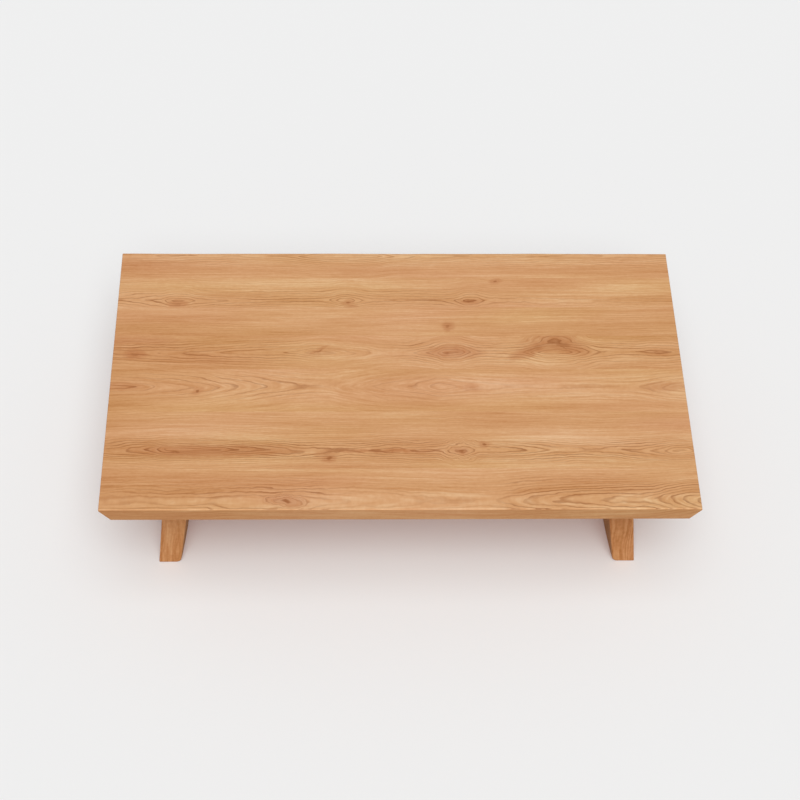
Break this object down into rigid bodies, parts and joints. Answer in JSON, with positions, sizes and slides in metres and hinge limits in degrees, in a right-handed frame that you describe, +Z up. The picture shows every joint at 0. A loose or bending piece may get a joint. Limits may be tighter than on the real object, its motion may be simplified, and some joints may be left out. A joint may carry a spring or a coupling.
{
  "type": "coffee table",
  "caption": "Low rectangular solid-wood coffee table: edge-glued top with under-bevelled ends, on splayed plank legs tied by a wedged stretcher.",
  "frame": {"origin": "on the floor, under the middle of the top", "axes": "+X along the table's length, +Y from the front to the back, +Z up"},
  "size_m": [1.2, 0.75, 0.33],
  "materials": {
    "top_wood": "satin oiled, reddish tan, knotty",
    "leg_wood": "satin oiled, reddish tan",
    "batten_wood": "planed, lightly oiled",
    "tongue_wood": "sawn, unfinished",
    "wedge_wood": "satin oiled, dark",
    "felt": "pressed felt"
  },
  "bodies": {
    "root": {"top_board_1": "top_wood", "top_board_2": "top_wood", "top_board_3": "top_wood", "top_board_4": "top_wood", "top_board_5": "top_wood", "top_board_6": "top_wood", "top_board_7": "top_wood", "left_groove_plug": "top_wood", "right_groove_plug": "top_wood", "left_leg_stave_1": "leg_wood", "left_leg_stave_2": "leg_wood", "left_leg_stave_3": "leg_wood", "left_leg_stave_4": "leg_wood", "right_leg_stave_1": "leg_wood", "right_leg_stave_2": "leg_wood", "right_leg_stave_3": "leg_wood", "right_leg_stave_4": "leg_wood", "stretcher": "leg_wood", "left_batten": "batten_wood", "right_batten": "batten_wood", "loose_tongue_1": "tongue_wood", "loose_tongue_2": "tongue_wood", "loose_tongue_3": "tongue_wood", "loose_tongue_4": "tongue_wood", "loose_tongue_5": "tongue_wood", "loose_tongue_6": "tongue_wood", "left_upper_wedge": "wedge_wood", "left_lower_wedge": "wedge_wood", "right_upper_wedge": "wedge_wood", "right_lower_wedge": "wedge_wood", "front_left_foot_pad": "felt", "front_right_foot_pad": "felt", "back_left_foot_pad": "felt", "back_right_foot_pad": "felt"}
  },
  "joints": []
}
